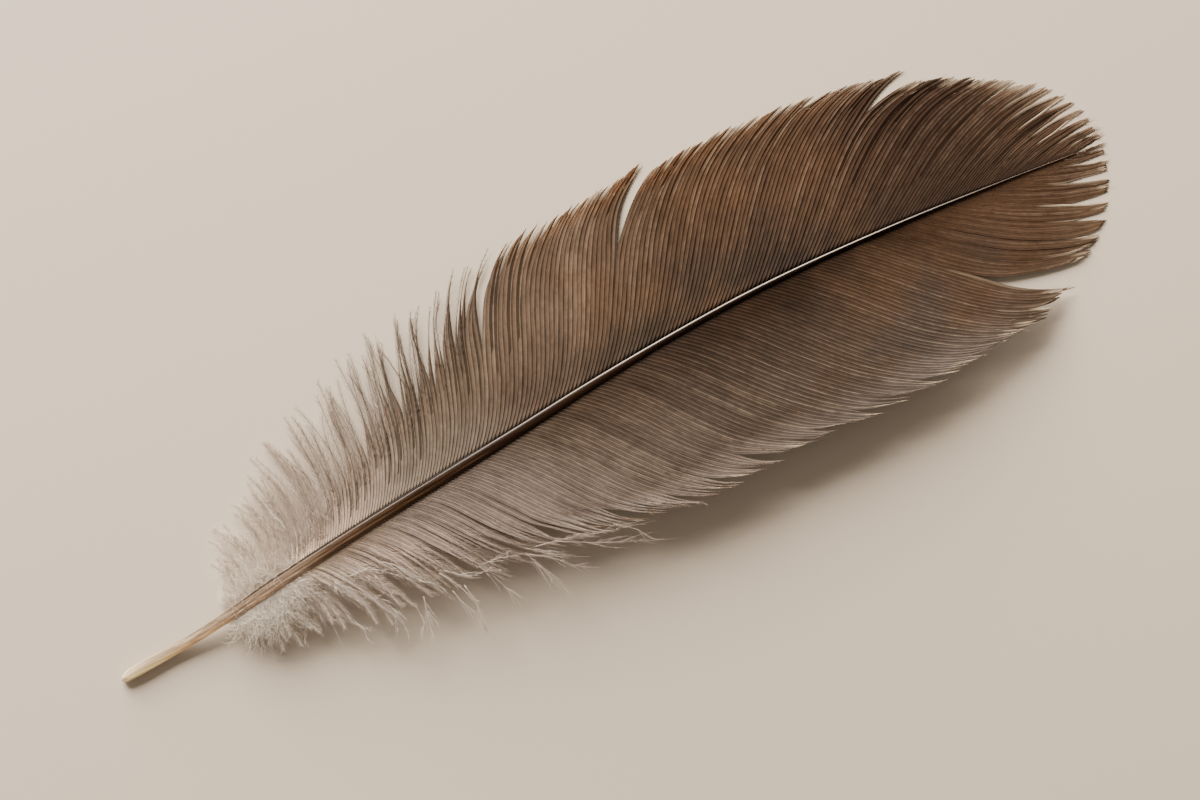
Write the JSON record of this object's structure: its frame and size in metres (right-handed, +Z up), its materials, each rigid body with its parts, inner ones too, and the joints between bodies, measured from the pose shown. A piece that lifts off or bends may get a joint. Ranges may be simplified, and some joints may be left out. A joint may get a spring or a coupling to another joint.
{
  "type": "goose quill feather",
  "caption": "Long curved quill feather lying flat, with a tapered shaft, a broad and a narrow vane split into locks, and loose down near the base.",
  "frame": {"origin": "under the middle of the feather's box, on the surface that it lies on", "axes": "+X from the bare end of the quill to the tip of the vane, +Y across the feather towards the broad vane, +Z up from the surface"},
  "size_m": [0.1834, 0.0614, 0.0068],
  "materials": {
    "vane": "brown barbs with a soft silky sheen, grey-beige near the base and dark towards the tip",
    "quill": "smooth translucent horn, cream at the bare end and dark brown between the vanes",
    "down": "loose pale down, matte and fluffy"
  },
  "bodies": {
    "root": {"feather": "vane"}
  },
  "joints": []
}
